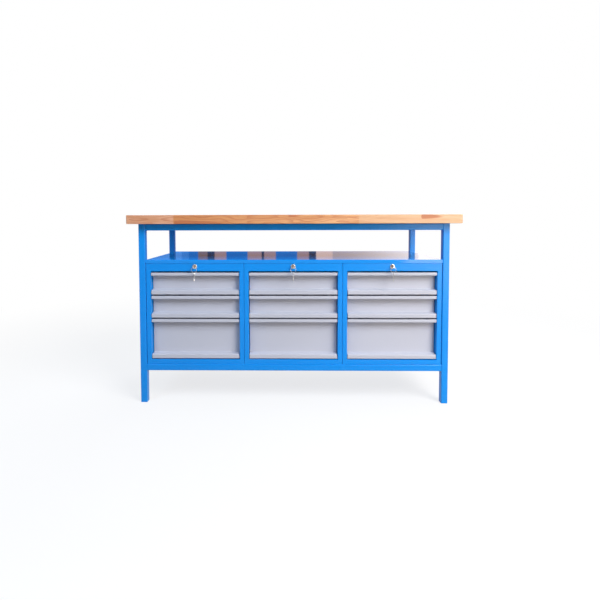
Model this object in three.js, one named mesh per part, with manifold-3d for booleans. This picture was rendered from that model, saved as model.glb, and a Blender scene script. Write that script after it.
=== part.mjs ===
import * as THREE from 'three';
import { mergeVertices } from 'three/addons/utils/BufferGeometryUtils.js';
import Module from 'manifold-3d';

const wasm = await Module();
wasm.setup();

// Driving dimensions in millimetres. +Z is up, the front faces -Y, the origin is on the floor at the centre.
const topLength = 1500;
const topDepth = 600;
const topThickness = 40;
const topRounding = 2;
const topSteps = 2;
const benchHeight = 870;
const overhang = 40;
const tube = 30;
const tubeWall = 2;
const tubeCorner = 3;
const footPlate = 3;
const legClearance = 150;
const shelfHeight = 665;
const coverLip = 16;
const coverBend = 1.4;
const sheet = 1.5;
const bend = 2;
const carcassBend = 1.2;
const bendSteps = 3;
const hiddenBendSteps = 2;
const tubeSteps = 2;
const cabinetCount = 3;
const cabinetSeam = 0.8;
const stileWidth = 21;
const stileReturn = 45;
const sillHeight = 22;
const fasciaDrop = 53;
const topFlange = 22;
const drawerGap = 7;
const sillGap = 4;
const shallowFront = 101;
const frontSideGap = 2.6;
const gripRecess = 30;
const gripLip = 14;
const gripHem = 9;
const ledgeFace = 19;
const ledgeRise = 4.5;
const trayWall = 1.2;
const traySideGap = 15;
const trayLift = 8;
const trayDrop = 26;
const trayHem = 8;
const trayRearGap = 30;
const railHeight = 30;
const railReach = 10;
const railLift = 13;
const channelWall = 1.6;
const channelLip = 12;
const uprightWidth = 30;
const uprightInset = 25;
const lockRise = 22;
const roundSteps = 18;
const rosetteRadius = 11.5;
const rosetteDepth = 3.5;
const barrelRadius = 9;
const barrelLength = 24;
const nutFlats = 22;
const nutSides = 6;
const nutDepth = 4;
const plugRadius = 6;
const plugSunk = 0.8;
const rodRadius = 3.5;
const crankDepth = 3;
const crankEdge = 2.5;
const pinRadius = 2;
const barWidth = 28;
const barThickness = 3;
const barDrop = 9;
const slotSteps = 4;
const hookWidth = 14;
const hookThickness = 2;
const hookDepth = 10;
const hookInside = 5;
const guideHeight = 16;
const keyThickness = 2;
const keySteps = 8;
const bladeWidth = 8;
const bladeLength = 24;
const biteCount = 3;
const biteDepth = 1.6;
const bowRadius = 9.5;
const bowCentre = 11.5;
const bowHole = 3.5;
const bowHoleShift = 3.5;
const ringRadius = 12;
const wireRadius = 0.9;
const ringSplit = 0.6;
const ringSteps = 24;
const wireSteps = 3;
const spareTurn = { left: 35, middle: 6, right: -8 };

// Clearances, and the reach within which points are one.
const mergeReach = 1e-4;
const fit = 0.3;
const running = 0.4;
const pinPlay = 0.5;
const hookPlay = 2;

// Sizes that follow from the ones above.
const frameHalfLength = topLength / 2 - overhang;
const frameHalfDepth = topDepth / 2 - overhang;
const frameTop = benchHeight - topThickness - fit;
const innerHalfLength = frameHalfLength - tube;
const railTop = legClearance + tube;
const cabinetZone = 2 * (innerHalfLength - sheet - 2 * fit);
const cabinetPitch = (cabinetZone + cabinetSeam) / cabinetCount;
const cabinetHalf = (cabinetPitch - cabinetSeam) / 2;
const carcassFront = -frameHalfDepth + sheet + fit;
const carcassBack = -carcassFront;
const carcassBottom = railTop + fit;
const carcassTop = shelfHeight - sheet - fit;
const openingHalf = cabinetHalf - stileWidth;
const openingBottom = carcassBottom + sillHeight;
const openingTop = shelfHeight - fasciaDrop;
const deepFront = openingTop - openingBottom - 2 * shallowFront - 3 * drawerGap - sillGap;
const frontHalf = openingHalf - frontSideGap;
const panelBack = carcassFront + gripRecess;
const trayHalf = openingHalf - traySideGap;
const trayFront = panelBack + fit;
const trayBack = carcassBack - trayRearGap;
const channelHalf = openingHalf;
const channelFront = carcassFront + stileReturn + drawerGap;
const channelBack = trayBack + drawerGap;
const innerSide = cabinetHalf - sheet;
const innerBack = carcassBack - sheet;
const lockAxis = openingTop + lockRise;
const rosetteBack = carcassFront - fit;
const rosetteFront = rosetteBack - rosetteDepth;
const crankRadius = barDrop / Math.SQRT2;
const barBack = innerBack - running;
const barFront = barBack - barThickness;
const crankBack = barFront - hookPlay;
const crankFront = crankBack - crankDepth;
const hangerBack = crankFront - hookPlay;
const shoulder = rosetteFront - 2 * fit;
const keyHoleAt = shoulder - bowCentre - bowHoleShift;

const paint = (color, roughness, metalness) =>
  new THREE.MeshStandardMaterial({ color, roughness, metalness });
const blue = () => paint(0x1d88e0, 0.35, 0);
const grey = () => paint(0xc0c6d6, 0.45, 0);
const zinc = () => paint(0xb4b6b8, 0.4, 0.9);
const chrome = () => paint(0xd8d8da, 0.15, 1);
const beech = () => paint(0xdda878, 0.5, 0);

const piece = (name, geometry, material) => {
  const mesh = new THREE.Mesh(geometry, material);
  mesh.name = name;
  return mesh;
};

// Closed solids for the cuts and welds.
const solid = (geometry) => {
  const bare = geometry.clone();
  bare.deleteAttribute('normal');
  bare.deleteAttribute('uv');
  const merged = mergeVertices(bare, mergeReach);
  const vertProperties = merged.attributes.position.array;
  const triVerts = new Uint32Array(merged.index.array);
  return new wasm.Manifold(new wasm.Mesh({ numProp: 3, vertProperties, triVerts }));
};

const geometryOf = (body) => {
  const mesh = body.getMesh();
  const geometry = new THREE.BufferGeometry();
  geometry.setAttribute('position', new THREE.BufferAttribute(new Float32Array(mesh.vertProperties), 3));
  geometry.setIndex(new THREE.BufferAttribute(new Uint32Array(mesh.triVerts), 1));
  const flat = geometry.toNonIndexed();
  flat.computeVertexNormals();
  return flat;
};

const weld = (...geometries) => geometries.map(solid).reduce((a, b) => a.add(b));

const block = (x0, x1, y0, y1, z0, z1) => {
  const box = new THREE.BoxGeometry(x1 - x0, y1 - y0, z1 - z0);
  return box.translate((x0 + x1) / 2, (y0 + y1) / 2, (z0 + z1) / 2);
};

// Profiles drawn in a plane and pulled along the axis across it.
const pull = (shape, depth, curveSegments = slotSteps) =>
  new THREE.ExtrudeGeometry(shape, { depth, bevelEnabled: false, curveSegments });
const axisX = new THREE.Vector3(1, 0, 0);
const axisY = new THREE.Vector3(0, 1, 0);
const axisZ = new THREE.Vector3(0, 0, 1);
const acrossX = new THREE.Matrix4().makeBasis(axisY, axisZ, axisX);
const acrossY = new THREE.Matrix4().makeBasis(axisX, axisZ, axisY.clone().negate());
const alongX = (shape, x0, x1) => pull(shape, x1 - x0).applyMatrix4(acrossX).translate(x0, 0, 0);
const alongY = (shape, y0, y1) => pull(shape, y1 - y0).applyMatrix4(acrossY).translate(0, y1, 0);
const alongZ = (shape, z0, z1) => pull(shape, z1 - z0).translate(0, 0, z0);

// A round bar or bored disc about the Y axis, from a list of radius and Y steps.
const turned = (steps, segments) => {
  const profile = steps.map(([radius, y]) => new THREE.Vector2(radius, y));
  return new THREE.LatheGeometry(profile, segments);
};
const rod = (radius, y0, y1, segments = roundSteps) =>
  new THREE.CylinderGeometry(radius, radius, y1 - y0, segments).translate(0, (y0 + y1) / 2, 0);

// The middle line of a folded sheet, with its corners rounded.
const roundCorners = (corners, radius, steps) => {
  const points = corners.map(([u, v]) => new THREE.Vector2(u, v));
  const line = [points[0]];
  for (let i = 1; i < points.length - 1; i += 1) {
    const back = points[i - 1].clone().sub(points[i]).normalize();
    const ahead = points[i + 1].clone().sub(points[i]).normalize();
    const half = back.angleTo(ahead) / 2;
    const reach = radius / Math.tan(half);
    const middle = back.clone().add(ahead).normalize().multiplyScalar(radius / Math.sin(half)).add(points[i]);
    const start = back.clone().multiplyScalar(reach).add(points[i]).sub(middle);
    const end = ahead.clone().multiplyScalar(reach).add(points[i]).sub(middle);
    const turn = Math.atan2(start.cross(end), start.dot(end));
    for (let step = 0; step <= steps; step += 1) {
      line.push(start.clone().rotateAround(new THREE.Vector2(), turn * step / steps).add(middle));
    }
  }
  line.push(points[points.length - 1]);
  return line;
};

// A sheet of even thickness on a middle line: both sides are the line moved half a thickness out.
const folded = (corners, thickness, radius = 0, steps = bendSteps) => {
  const points = corners.map(([u, v]) => new THREE.Vector2(u, v));
  const line = radius ? roundCorners(corners, radius, steps) : points;
  const side = (sign) => line.map((point, i) => {
    const before = line[Math.max(i - 1, 0)];
    const after = line[Math.min(i + 1, line.length - 1)];
    const first = point.clone().sub(before).normalize();
    const second = after.clone().sub(point).normalize();
    const into = i ? first : second;
    const out = i < line.length - 1 ? second : first;
    const normal = new THREE.Vector2(-into.y - out.y, into.x + out.x).normalize();
    const stretch = normal.x * -into.y + normal.y * into.x;
    return normal.multiplyScalar(sign * thickness / 2 / stretch).add(point);
  });
  return new THREE.Shape([...side(-1), ...side(1).reverse()]);
};

const roundedSquare = (size, radius, path) => {
  const half = size / 2;
  const flat = half - radius;
  path.moveTo(-flat, -half);
  path.lineTo(flat, -half);
  path.absarc(flat, -flat, radius, -Math.PI / 2, 0, false);
  path.lineTo(half, flat);
  path.absarc(flat, flat, radius, 0, Math.PI / 2, false);
  path.lineTo(-flat, half);
  path.absarc(-flat, flat, radius, Math.PI / 2, Math.PI, false);
  path.lineTo(-half, -flat);
  path.absarc(-flat, -flat, radius, Math.PI, 1.5 * Math.PI, false);
  return path;
};
const tubeSection = () => {
  const section = roundedSquare(tube, tubeCorner, new THREE.Shape());
  const bore = tube / 2 - tubeWall;
  const corners = [[-bore, -bore], [-bore, bore], [bore, bore], [bore, -bore]];
  section.holes.push(new THREE.Path(corners.map(([u, v]) => new THREE.Vector2(u, v))));
  return section;
};
const tubeOf = (length) => pull(tubeSection(), length, tubeSteps).translate(0, 0, -length / 2);

const bench = new THREE.Group();
bench.name = 'bench';

// Worktop: a slab with its edges eased.
const slab = new THREE.Shape();
slab.moveTo(-topLength / 2 + topRounding, -topDepth / 2 + topRounding);
slab.lineTo(topLength / 2 - topRounding, -topDepth / 2 + topRounding);
slab.lineTo(topLength / 2 - topRounding, topDepth / 2 - topRounding);
slab.lineTo(-topLength / 2 + topRounding, topDepth / 2 - topRounding);
const slabGeometry = new THREE.ExtrudeGeometry(slab, {
  depth: topThickness - 2 * topRounding,
  bevelThickness: topRounding,
  bevelSize: topRounding,
  bevelSegments: topSteps,
});
const worktop = piece('worktop', slabGeometry, beech());
worktop.position.z = benchHeight - topThickness + topRounding;
bench.add(worktop);

// Frame: legs open at the top and closed by a plate at the foot, rails welded between them.
const frame = new THREE.Group();
frame.name = 'frame';
bench.add(frame);
const legGeometry = () => {
  const wall = solid(pull(tubeSection(), frameTop, tubeSteps));
  const plate = solid(pull(roundedSquare(tube, tubeCorner, new THREE.Shape()), footPlate, tubeSteps));
  return geometryOf(wall.add(plate));
};
const sides = { left: -1, right: 1 };
const ends = { front: -1, rear: 1 };
const legX = frameHalfLength - tube / 2;
const legY = frameHalfDepth - tube / 2;
const longRail = 2 * (innerHalfLength - fit);
const shortRail = 2 * (frameHalfDepth - tube - fit);
const levels = { bottom: legClearance + tube / 2, top: frameTop - tube / 2 };
for (const [end, towardY] of Object.entries(ends)) {
  for (const [side, towardX] of Object.entries(sides)) {
    const leg = piece(`leg_${end}_${side}`, legGeometry(), blue());
    leg.position.set(towardX * legX, towardY * legY, 0);
    frame.add(leg);
  }
}
for (const [level, height] of Object.entries(levels)) {
  for (const [end, towardY] of Object.entries(ends)) {
    const rail = piece(`rail_${level}_${end}`, tubeOf(longRail).rotateY(Math.PI / 2), blue());
    rail.position.set(0, towardY * legY, height);
    frame.add(rail);
  }
  for (const [side, towardX] of Object.entries(sides)) {
    const rail = piece(`rail_${level}_${side}`, tubeOf(shortRail).rotateX(Math.PI / 2), blue());
    rail.position.set(towardX * legX, 0, height);
    frame.add(rail);
  }
}

// Shelf cover: a shallow lid folded down at the front and rear, its ends closed by side lips.
const coverHalf = innerHalfLength - fit;
const coverMiddle = shelfHeight - sheet / 2;
const coverEdge = frameHalfDepth - sheet / 2;
const coverProfile = folded([
  [-coverEdge, shelfHeight - coverLip],
  [-coverEdge, coverMiddle],
  [coverEdge, coverMiddle],
  [coverEdge, shelfHeight - coverLip],
], sheet, coverBend);
const coverLipBack = frameHalfDepth - coverBend - sheet;
const coverEnd = (toward) => block(
  Math.min(toward * coverHalf, toward * (coverHalf - sheet)),
  Math.max(toward * coverHalf, toward * (coverHalf - sheet)),
  -coverLipBack, coverLipBack, shelfHeight - coverLip, coverMiddle,
);
const cover = weld(alongX(coverProfile, -coverHalf, coverHalf), coverEnd(-1), coverEnd(1));
bench.add(piece('shelf_cover', geometryOf(cover), blue()));

// Cabinet carcass, in the cabinet's own frame: X from its middle, Y and Z as the bench.
const mid = sheet / 2;
const carcassWrap = folded([
  [-openingHalf - mid, carcassFront + stileReturn],
  [-openingHalf - mid, carcassFront + mid],
  [-cabinetHalf + mid, carcassFront + mid],
  [-cabinetHalf + mid, carcassBack - mid],
  [cabinetHalf - mid, carcassBack - mid],
  [cabinetHalf - mid, carcassFront + mid],
  [openingHalf + mid, carcassFront + mid],
  [openingHalf + mid, carcassFront + stileReturn],
], sheet, carcassBend, hiddenBendSteps);
const sillProfile = folded([
  [carcassFront + stileReturn, openingBottom - mid],
  [carcassFront + mid, openingBottom - mid],
  [carcassFront + mid, carcassBottom + mid],
  [innerBack + mid, carcassBottom + mid],
], sheet, carcassBend, hiddenBendSteps);
const fasciaProfile = folded([
  [carcassFront + stileReturn, openingTop + mid],
  [carcassFront + mid, openingTop + mid],
  [carcassFront + mid, carcassTop - mid],
  [carcassFront + topFlange, carcassTop - mid],
], sheet, carcassBend, hiddenBendSteps);
const flangeLow = carcassTop - sheet;
const sideFlange = (toward) => block(
  Math.min(toward * (innerSide + mid), toward * (innerSide - topFlange)),
  Math.max(toward * (innerSide + mid), toward * (innerSide - topFlange)),
  carcassFront + topFlange - mid, innerBack + mid, flangeLow, carcassTop,
);
const rearFlangeDepth = innerBack - hangerBack + 2 * sheet;
const rearFlange = block(
  -innerSide, innerSide, innerBack - rearFlangeDepth, innerBack + mid, flangeLow, carcassTop,
);
const hangerHalf = barWidth / 2;
const hangerPlate = block(
  -hangerHalf, hangerHalf, hangerBack - sheet, hangerBack,
  lockAxis - 2 * rodRadius - running, carcassTop - mid,
);
const lockTurn = (geometry) => geometry.translate(0, 0, lockAxis);
const hangerHole = lockTurn(rod(rodRadius + running, hangerBack - 2 * sheet, hangerBack + sheet));
const lockHole = lockTurn(rod(barrelRadius + fit, carcassFront - sheet, carcassFront + 2 * sheet));
const guideHalf = barWidth / 2 + running;
const guideAt = (low) => {
  const strap = solid(block(
    -guideHalf - sheet, guideHalf + sheet,
    barFront - running - sheet, innerBack + mid, low, low + guideHeight,
  ));
  const slot = solid(block(
    -guideHalf, guideHalf, barFront - running, innerBack, low - sheet, low + guideHeight + sheet,
  ));
  return strap.subtract(slot);
};

// Drawers from the sill upwards: the height of each front's lower edge and the front's own height.
const drawers = {};
let floorLine = openingBottom + sillGap;
for (const [level, height] of [['bottom', deepFront], ['middle', shallowFront], ['top', shallowFront]]) {
  drawers[level] = { low: floorLine, height };
  floorLine += height + drawerGap;
}
const trayTopOf = ({ low, height }) => low + height - trayDrop;
const guideLow = (drawer) => trayTopOf(drawer) + hookPlay + hookDepth + hookThickness + trayDrop;
const carcass = weld(
  alongZ(carcassWrap, carcassBottom, carcassTop),
  alongX(sillProfile, -innerSide - mid, innerSide + mid),
  alongX(fasciaProfile, -innerSide - mid, innerSide + mid),
  sideFlange(-1), sideFlange(1), rearFlange, hangerPlate,
).add(guideAt(guideLow(drawers.bottom))).add(guideAt(guideLow(drawers.middle)))
  .subtract(solid(lockHole)).subtract(solid(hangerHole));
const carcassGeometry = geometryOf(carcass);

// Runner rack: two U uprights standing off the side wall, a channel for each drawer.
const channelLow = ({ low }) => low + trayLift + railLift - fit - channelWall;
const channelHigh = (drawer) => channelLow(drawer) + railHeight + 2 * fit + 2 * channelWall;
const channelMid = channelWall / 2;
const channelProfile = (drawer) => folded([
  [channelHalf - channelLip, channelLow(drawer) + channelMid],
  [channelHalf - channelMid, channelLow(drawer) + channelMid],
  [channelHalf - channelMid, channelHigh(drawer) - channelMid],
  [channelHalf - channelLip, channelHigh(drawer) - channelMid],
], channelWall);
const uprightProfile = (front) => folded([
  [channelHalf - channelMid, front],
  [innerSide - fit - mid, front],
  [innerSide - fit - mid, front + uprightWidth],
  [channelHalf - channelMid, front + uprightWidth],
], sheet);
const uprightLow = openingBottom + drawerGap;
const uprightHigh = channelHigh(drawers.top) + drawerGap;
const rack = weld(
  alongZ(uprightProfile(channelFront + uprightInset), uprightLow, uprightHigh),
  alongZ(uprightProfile(channelBack - uprightInset - uprightWidth), uprightLow, uprightHigh),
  ...Object.values(drawers).map((drawer) => alongY(channelProfile(drawer), channelFront, channelBack)),
);
const rackGeometry = geometryOf(rack);

// Drawer front: one sheet folded into a grip lip, a recessed panel and a bottom lip with a sloped top.
const frontProfile = ({ height }) => folded([
  [carcassFront + gripHem, height - gripLip + mid],
  [carcassFront + mid, height - gripLip + mid],
  [carcassFront + mid, height - mid],
  [panelBack - mid, height - mid],
  [panelBack - mid, ledgeFace + ledgeRise - mid],
  [carcassFront + mid, ledgeFace - mid],
  [carcassFront + mid, mid],
  [panelBack, mid],
], sheet, bend);

// Drawer tray: folded sides with a hem, end walls, and a slide rail on each side.
const trayGeometry = ({ height }) => {
  const half = trayWall / 2;
  const top = height - trayDrop;
  const shell = folded([
    [-trayHalf + trayHem, top - half],
    [-trayHalf + half, top - half],
    [-trayHalf + half, trayLift + half],
    [trayHalf - half, trayLift + half],
    [trayHalf - half, top - half],
    [trayHalf - trayHem, top - half],
  ], trayWall);
  const rail = (toward) => folded([
    [toward * (trayHalf + railReach), trayLift + railLift + mid],
    [toward * (trayHalf + mid - half), trayLift + railLift + mid],
    [toward * (trayHalf + mid - half), trayLift + railLift + railHeight - mid],
    [toward * (trayHalf + railReach), trayLift + railLift + railHeight - mid],
  ], sheet);
  const endWall = (front) => block(
    -trayHalf + half, trayHalf - half, front, front + trayWall, trayLift + half, top - half,
  );
  return geometryOf(weld(
    alongY(shell, trayFront + half, trayBack - half),
    endWall(trayFront),
    endWall(trayBack - trayWall),
    alongY(rail(-1), trayFront + drawerGap, trayBack - drawerGap),
    alongY(rail(1), trayFront + drawerGap, trayBack - drawerGap),
  ));
};

// Lock housing: domed rosette, barrel through the fascia and the nut behind it, bored for the plug.
const plugBore = plugRadius + fit;
const barrelBack = carcassFront + barrelLength;
const nutFront = carcassFront + sheet + fit;
const housingBody = turned([
  [plugBore, rosetteFront],
  [rosetteRadius - rosetteDepth / 2, rosetteFront],
  [rosetteRadius - fit, rosetteFront + rosetteDepth / 2],
  [rosetteRadius, rosetteBack],
  [barrelRadius, rosetteBack],
  [barrelRadius, barrelBack],
  [plugBore, barrelBack],
  [plugBore, rosetteFront],
], roundSteps);
const hexNut = rod(nutFlats / Math.sqrt(3), nutFront, nutFront + nutDepth, nutSides);
const nutBore = rod(barrelRadius - fit, nutFront - sheet, nutFront + nutDepth + sheet);
const housing = solid(housingBody).add(solid(hexNut).subtract(solid(nutBore)));
const housingGeometry = geometryOf(housing);

// Turning plug with the rod that runs back to the crank, cut for the key.
const plugFront = rosetteFront + plugSunk;
const plugBody = turned([
  [0, plugFront],
  [plugRadius, plugFront],
  [plugRadius, barrelBack + sheet],
  [rodRadius, barrelBack + sheet],
  [rodRadius, crankFront],
  [crankRadius + pinRadius + crankEdge, crankFront],
  [crankRadius + pinRadius + crankEdge, crankBack],
  [0, crankBack],
], roundSteps);
const pinShift = crankRadius / Math.SQRT2;
const crankPin = rod(pinRadius, crankBack - crankDepth / 2, barBack).translate(pinShift, 0, pinShift);
const keyway = block(
  -keyThickness / 2 - fit, keyThickness / 2 + fit, plugFront - plugSunk, shoulder + bladeLength + fit,
  -bladeWidth / 2 - fit, bladeWidth / 2 + fit,
);
const plug = solid(plugBody).add(solid(crankPin)).subtract(solid(keyway));
const plugGeometry = geometryOf(plug);

// Central locking bar: a strip with a slot for the crank pin and a hook above each tray's rear wall.
const slotHalf = pinRadius + pinPlay;
const barLow = trayTopOf(drawers.bottom) + hookPlay;
const barHigh = lockAxis + pinShift + 3 * slotHalf;
const barShape = new THREE.Shape();
barShape.moveTo(-barWidth / 2, barLow);
barShape.lineTo(barWidth / 2, barLow);
barShape.lineTo(barWidth / 2, barHigh);
barShape.lineTo(-barWidth / 2, barHigh);
const slotMiddle = lockAxis + pinShift;
const pinSlot = new THREE.Path();
pinSlot.moveTo(pinShift, slotMiddle - slotHalf);
pinSlot.lineTo(crankRadius, slotMiddle - slotHalf);
pinSlot.absarc(crankRadius, slotMiddle, slotHalf, -Math.PI / 2, Math.PI / 2, false);
pinSlot.lineTo(pinShift, slotMiddle + slotHalf);
pinSlot.absarc(pinShift, slotMiddle, slotHalf, Math.PI / 2, 1.5 * Math.PI, false);
barShape.holes.push(pinSlot);
const hookTip = trayBack - trayWall - hookInside;
const hookProfile = (top) => folded([
  [hookTip + hookThickness / 2, top + hookPlay],
  [hookTip + hookThickness / 2, top + hookPlay + hookDepth + hookThickness / 2],
  [barFront + barThickness / 2, top + hookPlay + hookDepth + hookThickness / 2],
], hookThickness);
const lockBar = weld(
  alongY(barShape, barFront, barBack),
  ...Object.values(drawers).map((drawer) =>
    alongX(hookProfile(trayTopOf(drawer)), -hookWidth / 2, hookWidth / 2)),
);
const lockBarGeometry = geometryOf(lockBar);

// Key outline: U runs out from the shoulder, V across the blade.
const keyOutline = () => {
  const half = bladeWidth / 2;
  const bite = bladeLength / (2 * biteCount);
  const reach = Math.asin(half / bowRadius);
  const outline = new THREE.Shape();
  outline.moveTo(0, -half);
  outline.absarc(bowCentre, 0, bowRadius, -Math.PI + reach, Math.PI - reach, false);
  outline.lineTo(0, half);
  outline.lineTo(-bite, half);
  for (let cut = 1; cut <= biteCount; cut += 1) {
    outline.lineTo(-bite * (cut + 0.5), half - biteDepth * (1 + cut % 2) / 2);
    outline.lineTo(-bite * (cut + 1), half);
  }
  outline.lineTo(-bladeLength + half, half);
  outline.lineTo(-bladeLength, 0);
  outline.lineTo(-bladeLength + half, -half);
  const hole = new THREE.Path();
  hole.absarc(bowCentre + bowHoleShift, 0, bowHole, 0, 2 * Math.PI, true);
  outline.holes.push(hole);
  return outline;
};
const keyGeometry = () => pull(keyOutline(), keyThickness, keySteps).translate(0, 0, -keyThickness / 2);
const towardViewer = axisY.clone().negate();
const keyInLock = new THREE.Matrix4().makeBasis(towardViewer, axisZ, axisX.clone().negate());
const keyHanging = new THREE.Matrix4().makeBasis(axisZ, towardViewer, axisX);

// Key ring: one turn of wire with a split at its side.
class RingLine extends THREE.Curve {
  getPoint(t, target = new THREE.Vector3()) {
    const open = ringSplit / ringRadius;
    const angle = open / 2 + t * (2 * Math.PI - open);
    return target.set(ringRadius * Math.cos(angle), 0, ringRadius * Math.sin(angle));
  }
}
const wireSection = new THREE.Shape().absarc(0, 0, wireRadius, 0, 2 * Math.PI, false);
const ringGeometry = () => new THREE.ExtrudeGeometry(wireSection, {
  steps: ringSteps,
  curveSegments: wireSteps,
  extrudePath: new RingLine(),
});
const ringTop = lockAxis - bowHole + fit + wireRadius;
const ringMiddle = ringTop - ringRadius;
const spareHole = ringMiddle - ringRadius + wireRadius + fit - bowHole;

['left', 'middle', 'right'].forEach((place, index) => {
  const cabinet = new THREE.Group();
  cabinet.name = `cabinet_${place}`;
  cabinet.position.x = (index - (cabinetCount - 1) / 2) * cabinetPitch;
  bench.add(cabinet);
  cabinet.add(piece(`carcass_${place}`, carcassGeometry.clone(), blue()));
  cabinet.add(piece(`runner_rack_${place}_r`, rackGeometry.clone(), zinc()));
  const rackLeft = piece(`runner_rack_${place}_l`, rackGeometry.clone(), zinc());
  rackLeft.scale.x = -1;
  cabinet.add(rackLeft);

  for (const [level, drawer] of Object.entries(drawers)) {
    const group = new THREE.Group();
    group.name = `drawer_${place}_${level}`;
    group.position.z = drawer.low;
    const front = alongX(frontProfile(drawer), -frontHalf, frontHalf);
    group.add(piece(`drawer_front_${place}_${level}`, front, grey()));
    group.add(piece(`drawer_tray_${place}_${level}`, trayGeometry(drawer), grey()));
    cabinet.add(group);
  }

  const lock = new THREE.Group();
  lock.name = `lock_${place}`;
  lock.position.z = lockAxis;
  cabinet.add(lock);
  lock.add(piece(`lock_housing_${place}`, housingGeometry.clone(), chrome()));
  lock.add(piece(`lock_plug_${place}`, plugGeometry.clone(), zinc()));
  const key = piece(`key_${place}`, keyGeometry().applyMatrix4(keyInLock), chrome());
  key.position.y = shoulder;
  lock.add(key);
  cabinet.add(piece(`lock_bar_${place}`, lockBarGeometry.clone(), zinc()));

  const ring = piece(`key_ring_${place}`, ringGeometry(), chrome());
  ring.position.set(0, keyHoleAt, ringMiddle);
  cabinet.add(ring);
  const holeInKey = bowCentre + bowHoleShift;
  const spare = piece(`spare_key_${place}`, keyGeometry().translate(-holeInKey, 0, 0), chrome());
  spare.geometry.applyMatrix4(keyHanging);
  spare.position.set(0, keyHoleAt, spareHole);
  spare.rotation.z = THREE.MathUtils.degToRad(spareTurn[place]);
  cabinet.add(spare);
});

export default bench;
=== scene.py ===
import math

import bmesh
import bpy
import numpy as np
from mathutils import Matrix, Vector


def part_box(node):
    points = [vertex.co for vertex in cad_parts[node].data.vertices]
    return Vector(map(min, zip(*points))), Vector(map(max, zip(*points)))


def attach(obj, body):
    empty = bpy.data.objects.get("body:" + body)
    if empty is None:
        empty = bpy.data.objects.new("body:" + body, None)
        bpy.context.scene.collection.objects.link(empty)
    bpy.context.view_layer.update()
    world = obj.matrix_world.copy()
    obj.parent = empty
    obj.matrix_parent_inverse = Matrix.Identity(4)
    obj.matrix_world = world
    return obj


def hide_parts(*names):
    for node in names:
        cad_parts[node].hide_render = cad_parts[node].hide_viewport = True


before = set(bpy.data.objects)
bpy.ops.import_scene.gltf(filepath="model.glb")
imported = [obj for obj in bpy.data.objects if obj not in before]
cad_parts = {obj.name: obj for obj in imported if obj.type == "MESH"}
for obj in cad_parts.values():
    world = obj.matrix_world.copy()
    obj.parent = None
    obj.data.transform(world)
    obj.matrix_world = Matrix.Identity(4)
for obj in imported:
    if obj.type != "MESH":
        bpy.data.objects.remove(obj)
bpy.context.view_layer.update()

scene = bpy.context.scene
scene.view_settings.view_transform = "Standard"
places = ("left", "middle", "right")
levels = ("bottom", "middle", "top")


def screen(red, green, blue):
    # an 8-bit screen colour as linear light
    share = np.array((red, green, blue)) / 255
    linear = np.where(share <= 0.04045, share / 12.92, ((share + 0.055) / 1.055) ** 2.4)
    return (*(float(part) for part in linear), 1.0)


def dim(colour, factor):
    return (*(min(part * factor, 1.0) for part in colour[:3]), 1.0)


# a shader value that can be added, subtracted, multiplied and divided
class Value:
    def __init__(self, finish, socket):
        self.finish = finish
        self.socket = socket

    def out(self, name):
        return Value(self.finish, self.socket.node.outputs[name])

    def calc(self, operation, *others, first=None):
        terms = (self, *others) if first is None else (first, self)
        return self.finish.node("ShaderNodeMath", {"operation": operation}, dict(enumerate(terms)))

    def __add__(self, other):
        return self.calc("ADD", other)

    def __radd__(self, other):
        return self.calc("ADD", first=other)

    def __sub__(self, other):
        return self.calc("SUBTRACT", other)

    def __rsub__(self, other):
        return self.calc("SUBTRACT", first=other)

    def __mul__(self, other):
        return self.calc("MULTIPLY", other)

    def __rmul__(self, other):
        return self.calc("MULTIPLY", first=other)

    def __truediv__(self, other):
        return self.calc("DIVIDE", other)

    def __rtruediv__(self, other):
        return self.calc("DIVIDE", first=other)

    def above(self, level):
        return self.calc("GREATER_THAN", level)

    def below(self, level):
        return self.calc("LESS_THAN", level)

    def floor(self):
        return self.calc("FLOOR")

    def ease(self, low, high):
        # 0 below low, 1 above high, smooth between
        sockets = {"Value": self, "From Min": low, "From Max": high}
        return self.finish.node("ShaderNodeMapRange", {"interpolation_type": "SMOOTHSTEP"}, sockets)


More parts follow.
